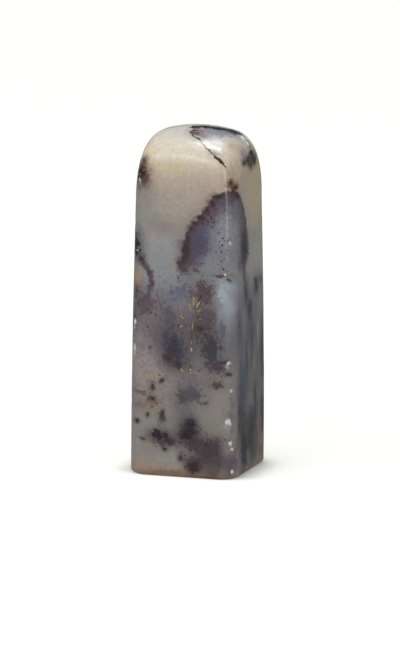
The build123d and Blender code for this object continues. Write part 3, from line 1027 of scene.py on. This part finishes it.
stone_finish = start_finish("mottled_stone_finish")
place = object_place()
crisp_place = pushed(place, scale=0.9, detail=3.0, reach=1.3)
cloud_place = pushed(crisp_place, scale=0.22, detail=2.0, reach=5.0)
coarse, fine, dust = find_grains(place)
stops = [(z / SEAL_HEIGHT, at_height) for z, at_height in TONES]
colour = ramp(over(axes(crisp_place)[2], SEAL_HEIGHT), stops)
colour = lay(colour, SOFT_ZONES, cloud_place, coarse, ragged=0.5, soft=0.8, strength=0.85)
# These rows hold one painted highlight, a pale patch on the crown, among the mineral clouds.
colour = lay(colour, CLOUDS_AND_HIGHLIGHT, crisp_place, fine, ragged=0.7, soft=0.7, strength=1.0, halo=0.35)
colour = place_group(cloud_group, {
    "Under": colour, "Place": crisp_place, "Coarse grain": coarse, "Fine grain": fine})["Colour"]
colour = lay(colour, CLOUD_INSIDE, crisp_place, fine, ragged=0.7, soft=0.8, strength=0.8)
print("nodes so far", len(tree.nodes))

# %% [markdown]
# Veins come next. A comb of short dark streaks at the crown keeps its plain place, because noise would run
# the streaks together. Then the crisp marks are laid, and last the pale marks at the chips: partly the pale
# crushed stone where a chip broke out, and partly painted highlights, small white glints painted on chips
# along the edges and at the crown's rim.

# %% The stone's finish: veins, marks and bruises
VEINS = (
    # start, end, half width, strength, colour
    ((3.0, -8.1, 74.1), (5.2, -9.3, 72.6), 0.36, 0.8, (104, 80, 84)),
    ((5.2, -9.3, 72.6), (6.6, -9.9, 71.6), 0.38, 1.0, (70, 44, 46)),
    ((6.6, -9.9, 71.6), (8.2, -10.2, 70.5), 0.42, 1.0, (42, 20, 20)),
    ((8.2, -10.2, 70.5), (9.5, -10.2, 69.2), 0.36, 1.0, (58, 34, 28)),
    ((9.5, -10.2, 69.2), (10.1, -10.2, 67.6), 0.30, 0.4, (96, 70, 54)),
    ((-0.4, -2.0, 76.8), (2.1, -1.2, 76.8), 1.2, 1.0, (44, 22, 26)),
    ((2.1, -1.2, 76.8), (5.1, -0.4, 76.6), 1.5, 1.0, (26, 10, 16)),
    ((5.1, -0.4, 76.6), (8.1, 0.6, 75.8), 1.5, 1.0, (22, 8, 14)),
    ((-0.6, -3.0, 76.7), (2.1, -2.3, 76.7), 0.9, 1.0, (56, 30, 34)),
    ((2.1, -2.3, 76.7), (5.1, -1.5, 76.5), 1.2, 1.0, (30, 12, 18)),
    ((5.1, -1.5, 76.5), (7.9, -0.6, 75.8), 1.3, 1.0, (24, 10, 16)),
    ((7.9, -0.6, 75.8), (9.7, 2.0, 74.7), 1.1, 1.0, (36, 20, 26)),
    ((9.7, 2.0, 74.7), (11.2, 1.9, 72.4), 0.5, 0.8, (58, 42, 48)),
    ((-8.9, -12.2, 47.8), (-7.3, -12.4, 45.6), 1.10, 0.9, (78, 60, 68)),
    ((-7.3, -12.4, 45.6), (-6.8, -12.5, 43.0), 1.05, 0.9, (74, 58, 66)),
    ((-6.8, -12.5, 43.0), (-7.7, -12.5, 40.2), 1.00, 0.8, (74, 62, 66)),
    ((11.0, -11.0, 19.5), (11.5, -11.2, 11.0), 0.80, 0.5, (90, 70, 70)),
    ((-5.6, -12.5, 41.5), (-4.4, -12.5, 36.5), 0.45, 0.6, (84, 70, 74)),
    ((-8.0, 12.3, 70.0), (2.0, 12.2, 60.0), 0.35, 0.7, (98, 74, 68)),
    ((2.0, 12.2, 60.0), (6.0, 12.3, 56.0), 0.45, 0.8, (84, 60, 60)),
    ((-12.0, -4.0, 60.0), (-12.2, 4.0, 50.0), 0.40, 0.6, (104, 82, 80)),
)
COMB = (
    ((-0.2, -4.7, 76.2), (1.0, -3.0, 76.6), 0.30, 1.0, (36, 12, 14)),
    ((-0.5, -5.2, 76.0), (1.3, -4.4, 76.2), 0.24, 1.0, (48, 22, 24)),
    ((-0.3, -5.7, 75.8), (1.5, -5.6, 75.8), 0.30, 1.0, (38, 14, 16)),
    ((0.2, -6.2, 75.6), (2.0, -6.3, 75.5), 0.24, 1.0, (52, 26, 28)),
    ((0.5, -6.6, 75.4), (2.7, -7.5, 74.6), 0.30, 1.0, (44, 20, 22)),
)
# Pale marks at the deeper chips, partly crushed stone and partly painted glint; the listed rows after them
# are painted highlights only, white glints on chips along the edges and at the crown's rim.
BRUISE_AND_GLINT_DEPTH = 0.15
BRUISE_AND_GLINT_SHARE = 0.62
BRUISES_AND_GLINTS = within(*((x, y, z) + (BRUISE_AND_GLINT_SHARE * radius,) * 3 + (216, 212, 208)
                   for x, y, z, radius, depth in CHIPS if depth >= BRUISE_AND_GLINT_DEPTH)) + within(
    (9.9, 0.4, 74.5, 0.7, 0.7, 0.6, 240, 238, 236), (10.9, 1.0, 73.1, 0.6, 0.6, 0.5, 236, 234, 232),
    (-10.3, -11.0, 68.3, 0.5, 0.5, 0.5, 236, 232, 228), (-10.4, -11.0, 65.6, 0.5, 0.5, 0.5, 236, 232, 228),
    (-11.2, -11.4, 34.0, 0.7, 0.7, 1.0, 226, 222, 220), (-11.2, -11.4, 28.2, 0.6, 0.6, 1.0, 226, 222, 220),
    (-10.6, -11.5, 50.0, 0.35, 0.35, 0.3, 220, 216, 214), (9.9, -11.9, 45.8, 0.35, 0.35, 0.35, 214, 208, 204))

for rows, vein_place in ((VEINS, crisp_place), (COMB, place)):
    for start, end, half_width, strength, vein_colour in rows:
        colour = place_group(vein_group, {
            "Under": colour, "Colour": tone(*vein_colour), "Place": in_turn(vein_place, colour),
            "Grain": fine, "Start": start, "End": end, "Half width": half_width,
            "Strength": strength})["Colour"]
colour = lay(colour, CRISP_MARKS, crisp_place, fine, ragged=1.0, soft=0.55, strength=1.0, halo=0.55)
# Lays the pale chip marks and the painted glints, small white highlights painted into the colour.
colour = lay(colour, BRUISES_AND_GLINTS, place, dust, ragged=1.2, soft=0.4, strength=0.9)
print(len(BRUISES_AND_GLINTS), "bruises, nodes so far", len(tree.nodes))

# %% [markdown]
# Specks gather in crowds. A crowd is laid like a patch, as a grey: the lighter it is, the more cells show a
# dot. Dark specks come in two sizes, and a little gold dust lies round the strokes.

# %% The stone's finish: specks
CROWDS = (
    *on("front",
        (-8.5, 37, 4.5, 7, 190, 190, 190), (-6, 29, 4, 4, 150, 150, 150),
        (0.6, 47, 3.2, 3.2, 255, 255, 255), (6.8, 57.5, 3, 4.5, 200, 200, 200, 35),
        (7.5, 50, 5, 8, 180, 180, 180), (4, 41, 4.5, 5.5, 215, 215, 215), (6, 31, 4, 6, 230, 230, 230),
        (-1.5, 31, 3, 6, 220, 220, 220), (-6.5, 18, 3, 5.5, 150, 150, 150), (2.5, 8, 5, 6.5, 180, 180, 180),
        (-5, 9, 4, 4, 140, 140, 140), (8.5, 8, 4, 8, 150, 150, 150), (8, 23, 3, 3.5, 170, 170, 170)),
    *on("right",
        (-4, 45, 3.5, 9, 220, 220, 220), (0, 12, 7, 10, 210, 210, 210)),
    *on("back",
        (2, 50, 5, 8, 220, 220, 220), (5, 20, 5, 9, 220, 220, 220)),
    *on("left",
        (1, 30, 6, 10, 210, 210, 210)),
)
GILT_DUST = on("front", (3.6, 38, 2.6, 3.6, 150, 150, 150), (3.2, 28, 2.2, 5.5, 110, 110, 110))
crowd = lay((0.03, 0.03, 0.03, 1.0), CROWDS, cloud_place, coarse, ragged=1.0, soft=0.9, strength=1.0)
dust_crowd = lay((0.0, 0.0, 0.0, 1.0), GILT_DUST, crisp_place, fine, ragged=1.2, soft=0.9, strength=1.0)
for speck_colour, speck_place, gathered, cell, dot in (
        ((46, 28, 34), crisp_place, crowd, 0.85, 0.42), ((52, 34, 40), place, crowd, 0.6, 0.55),
        ((140, 116, 82), crisp_place, dust_crowd, 0.5, 0.45)):
    colour = place_group(speck_group, {
        "Under": colour, "Colour": tone(*speck_colour), "Place": speck_place, "Crowd": gathered, "Cell": cell,
        "Dot": dot})["Colour"]
print("nodes with specks", len(tree.nodes))

# %% [markdown]
# Last come the things that lie all over the stone: a faint change of tone from grain to grain, plum mottling
# over the middle of the faces, and a trace of red paste round the foot. Then the colour goes into the shader,
# with a polish that is duller where the wear group says so. Soapstone lets light in a little way, so there is
# some subsurface scattering under a waxy coat.

# %% The stone's finish: grain, mottling, paste stain and shader
MOTTLED_FROM, MOTTLED_TO = (8.0, 20.0), (52.0, 42.0)
LESS_AT_THE_EDGE = (9.5, 6.5, 0.25, 1.0)
MOTTLED_GRAIN = (0.48, 0.72, 0.0, 0.36)
STAINED_HEIGHT, STAINED_GRAIN = (1.0, 0.6), (0.3, 0.9, 0.0, 0.22)
ROUGHEST, SMOOTHEST = 0.40, 0.30
DULLING = 0.3
grain_tone = times(evenly(fine, 0.0, 1.0, 0.90, 1.09), evenly(dust, 0.0, 1.0, 0.92, 1.08))
colour = vector("SCALE", colour, scale=grain_tone)
across, _, height = axes(place)
mottled_part = times(between(height, *MOTTLED_FROM), between(height, *MOTTLED_TO))
mottling = times(mottled_part, between(across, *LESS_AT_THE_EDGE), evenly(fine, *MOTTLED_GRAIN))
colour = blend(mottling, colour, tone(76, 61, 69))
stain = times(between(height, *STAINED_HEIGHT), evenly(fine, *STAINED_GRAIN))
colour = blend(stain, colour, tone(150, 40, 34))
wear = place_group(wear_group, {"Pits": 0.5, "Scratches": 0.35, "Size": 1.0})
rough = plus(evenly(coarse, 0.0, 1.0, SMOOTHEST, ROUGHEST), times(wear["Dullness"], DULLING))
end_finish({
    "Base Color": colour, "Roughness": rough, "Normal": bumped(wear["Height"], 0.25, 0.06), "IOR": 1.5,
    "Subsurface Weight": 0.12, "Subsurface Radius": (1.0, 0.8, 0.6), "Subsurface Scale": 1.0 * MM,
    "Coat Weight": 0.35, "Coat Roughness": 0.12}, stone_finish, stone)

# %% [markdown]
# Gilt and seal paste keep the shape of their CAD solids and get a finish of their own. The gilt is gold
# pigment that was rubbed into the strokes and has worn since: dull brown in most places, bright where it is
# thick. The paste is an oily vermilion film, uneven where the stone was last pressed on paper.

# %% Gilt and red paste
gilt_finish = start_finish("worn_gilt_finish")
_, fine, dust = find_grains(object_place())
gold = blend(between(dust, 0.25, 0.8), tone(112, 90, 62), tone(214, 192, 150))
gold = blend(between(fine, 0.55, 0.9), gold, tone(84, 66, 56))
wear = place_group(wear_group, {"Pits": 0.8, "Scratches": 0.2, "Size": 0.4})
end_finish({
    "Base Color": gold, "Metallic": evenly(dust, 0.3, 0.7, 0.15, 0.55),
    "Roughness": plus(0.42, times(wear["Dullness"], DULLING)), "Normal": bumped(dust, 0.8, 0.1)},
    gilt_finish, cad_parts["gilt_side_mark"])

paste_finish = start_finish("seal_paste_finish")
coarse, fine, _ = find_grains(object_place())
red = blend(fine, tone(196, 38, 26), tone(150, 22, 20))
red = blend(between(coarse, 0.6, 1.1), red, tone(214, 78, 54))
wear = place_group(wear_group, {"Pits": 0.9, "Scratches": 0.1, "Size": 0.6})
end_finish({
    "Base Color": red, "Roughness": evenly(fine, 0.0, 1.0, 0.32, 0.5),
    "Normal": bumped(wear["Height"], 0.5, 0.05)}, paste_finish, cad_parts["red_paste_film"])

# %% [markdown]
# The stage is a pale floor that fills the picture, under an even grey sky. The camera sees the floor as
# nearly white, with the stone's shadow on it, and darker where the stone stands close by and shuts out the
# sky. Other rays see a duller floor, so that dark marks are not washed out by its reflection. The floor lies
# a hair below the stone, casts no shadow and can be seen from above only, so the printing face can be lit and
# looked at from below.

# %% Floor
FLOOR_SIZE = 8.0
PAPER_GAP = 0.03
CONTACT_REACH = 7.0 * MM
CONTACT_START, CONTACT_END = -14.0 * MM, -7.0 * MM
PAGE_WHITE = tone(254, 255, 249)
SHUT_OUT = (1.0, 0.45)
GLOW_IN_THE_OPEN, GLOW_CLOSE_BY = 0.68, 0.22
half_floor = FLOOR_SIZE / 2 / MM
corners = [(x * half_floor, y * half_floor, -PAPER_GAP) for x, y in ((-1, -1), (1, -1), (1, 1), (-1, 1))]
floor = mesh_piece("floor", corners, [(0, 1, 2, 3)])
floor.visible_shadow = False


def mix_shaders(share, one, other):
    """Two shaders mixed by a share of the other."""
    return put("ShaderNodeMixShader", {0: share, 1: one, 2: other}).outputs[0]


floor_finish = start_finish("pale_floor_finish")
open_sky = put("ShaderNodeAmbientOcclusion", {"Distance": CONTACT_REACH}, samples=8).outputs["AO"]
floor_y = axes(put("ShaderNodeTexCoord").outputs["Object"])[1]
contact_shade = times(between(floor_y, CONTACT_START, CONTACT_END), between(open_sky, *SHUT_OUT))
glow_strength = evenly(contact_shade, 0.0, 1.0, GLOW_IN_THE_OPEN, GLOW_CLOSE_BY)
glow = put("ShaderNodeEmission", {"Color": PAGE_WHITE, "Strength": glow_strength})
lit_page = put("ShaderNodeBsdfDiffuse", {"Color": (0.34, 0.34, 0.33, 1.0)})
page = put("ShaderNodeAddShader", {0: lit_page.outputs[0], 1: glow.outputs[0]}).outputs[0]
dull_page = put("ShaderNodeBsdfDiffuse", {"Color": (0.18, 0.18, 0.175, 1.0)}).outputs[0]
seen = mix_shaders(put("ShaderNodeLightPath").outputs["Is Camera Ray"], dull_page, page)
from_below = put("ShaderNodeNewGeometry").outputs["Backfacing"]
put("ShaderNodeOutputMaterial", {
    0: mix_shaders(from_below, seen, put("ShaderNodeBsdfTransparent").outputs[0])})
floor.data.materials.append(floor_finish)
print("floor", FLOOR_SIZE, "m wide")

# %% [markdown]
# The sky is brighter near the horizon, weaker in reflections, and ends at the horizon, so that it does not
# light the stone from below. The camera sees it as the same white as the page.

# %% Sky
SKY_COLOUR = (0.98, 0.99, 1.0, 1.0)
LOW_SKY, HIGH_SKY = 0.70, 0.26
SKY_RISE, HORIZON = (0.1, 1.0), (-0.02, 0.0)
SHARE_IN_REFLECTIONS = 0.20
world = bpy.data.worlds.new("studio_sky")
bpy.context.scene.world = world
world.use_nodes = True
tree = world.node_tree
tree.nodes.clear()
upward = axes(put("ShaderNodeTexCoord").outputs["Generated"])[2]
rays = put("ShaderNodeLightPath").outputs
mirrored_share = evenly(rays["Is Glossy Ray"], 0.0, 1.0, 1.0, SHARE_IN_REFLECTIONS)
sky_strength = evenly(upward, *SKY_RISE, LOW_SKY, HIGH_SKY)
sky_strength = times(sky_strength, mirrored_share, between(upward, *HORIZON))
sky_light = put("ShaderNodeBackground", {"Color": SKY_COLOUR, "Strength": sky_strength}).outputs[0]
sky_seen = put("ShaderNodeBackground", {"Color": PAGE_WHITE, "Strength": 1.0}).outputs[0]
put("ShaderNodeOutputWorld", {0: mix_shaders(rays["Is Camera Ray"], sky_light, sky_seen)})
print("sky nodes", len(tree.nodes))

# %% [markdown]
# The lamps. A polished stone shows what lights it, so each lamp's place and shape is chosen by its
# reflection: a strip high at the left draws the line along the brow, a small one overhead makes the spot on
# the crown, a tall strip close by at the right runs down the edge between front and side, and a small one
# behind catches the far rim. Four fills light the front, the right, the back and, through the floor, the
# printing face. They are left out of reflections.

# %% Lamps
STONE_MIDDLE = Vector((0, 0, 39.0)) * MM
FAR_OFF = 3.0
CLOSE_BY = 0.45
LAMPS = (
    # name, azimuth (0 in front, 90 to the right), elevation, width, height in degrees, brightness, distance
    ("front_fill", -25, 26, 90, 50, 1.55, FAR_OFF), ("right_fill", 105, 15, 60, 40, 0.95, FAR_OFF),
    ("back_fill", 205, 12, 60, 30, 1.5, FAR_OFF), ("under_fill", 0, -90, 8, 8, 60.0, FAR_OFF),
    ("brow_strip", -30, 48, 40, 8, 5.0, FAR_OFF), ("overhead_spot", -20, 83, 22, 8, 15.0, FAR_OFF),
    ("right_strip", 52, 18, 8, 48, 6.5, CLOSE_BY), ("rim_lamp", 177, 12, 6, 8, 3.0, FAR_OFF),
)


def direction(turn, rise):
    """The way from the stone to something at this azimuth and elevation, in radians."""
    return Vector((math.sin(turn) * math.cos(rise), -math.cos(turn) * math.cos(rise), math.sin(rise)))


for name, azimuth, elevation, wide, high, brightness, distance in LAMPS:
    lamp = bpy.data.lights.new(name, "AREA")
    lamp.shape = "RECTANGLE"
    lamp.size = 2 * distance * math.tan(math.radians(wide / 2))
    lamp.size_y = 2 * distance * math.tan(math.radians(high / 2))
    lamp.energy = brightness * lamp.size * lamp.size_y * math.pi
    holder = bpy.data.objects.new(name, lamp)
    away = direction(math.radians(azimuth), math.radians(elevation))
    holder.location = STONE_MIDDLE + away * distance
    holder.rotation_euler = away.to_track_quat("Z", "Y").to_matrix().to_euler()
    holder.visible_glossy = not name.endswith("_fill")
    bpy.context.scene.collection.objects.link(holder)
print(len(LAMPS), "lamps")

# %% [markdown]
# The camera stands a little to the right of the front and looks slightly down. It has a long lens, because
# the stone's upright edges hardly draw together in the photograph. The angles, the lens and the small shift
# come from fitting the stone's outline to the photograph.

# %% Camera
VIEW_AZIMUTH = math.radians(17.855)
VIEW_ELEVATION = math.radians(9.655)
VIEW_ROLL = math.radians(-0.29)
CAMERA_DISTANCE = 1200.0
PIXELS_PER_MM = 4.518
PICTURE_WIDTH, PICTURE_HEIGHT = 400, 649
STONE_AT = (198.592, 294.209)
SENSOR = 36.0

right_axis = Vector((math.cos(VIEW_AZIMUTH), math.sin(VIEW_AZIMUTH), 0))
back_axis = direction(VIEW_AZIMUTH, VIEW_ELEVATION)
up_axis = back_axis.cross(right_axis)
rolled_right = right_axis * math.cos(VIEW_ROLL) - up_axis * math.sin(VIEW_ROLL)
rolled_up = right_axis * math.sin(VIEW_ROLL) + up_axis * math.cos(VIEW_ROLL)
camera = bpy.data.objects.new("camera", bpy.data.cameras.new("camera"))
bpy.context.scene.collection.objects.link(camera)
placed = Matrix((rolled_right, rolled_up, back_axis)).transposed().to_4x4()
placed.translation = STONE_MIDDLE + back_axis * CAMERA_DISTANCE * MM
camera.matrix_world = placed
camera.data.sensor_width = SENSOR
camera.data.lens = PIXELS_PER_MM * CAMERA_DISTANCE / PICTURE_HEIGHT * SENSOR
camera.data.shift_x = (PICTURE_WIDTH / 2 - STONE_AT[0]) / PICTURE_HEIGHT
camera.data.shift_y = (STONE_AT[1] - PICTURE_HEIGHT / 2) / PICTURE_HEIGHT
camera.data.clip_start, camera.data.clip_end = 0.05, 50.0
bpy.context.scene.camera = camera
bpy.context.scene.view_settings.view_transform = "Standard"
print("lens", round(camera.data.lens, 1), "at", [round(v, 3) for v in placed.translation], "m")
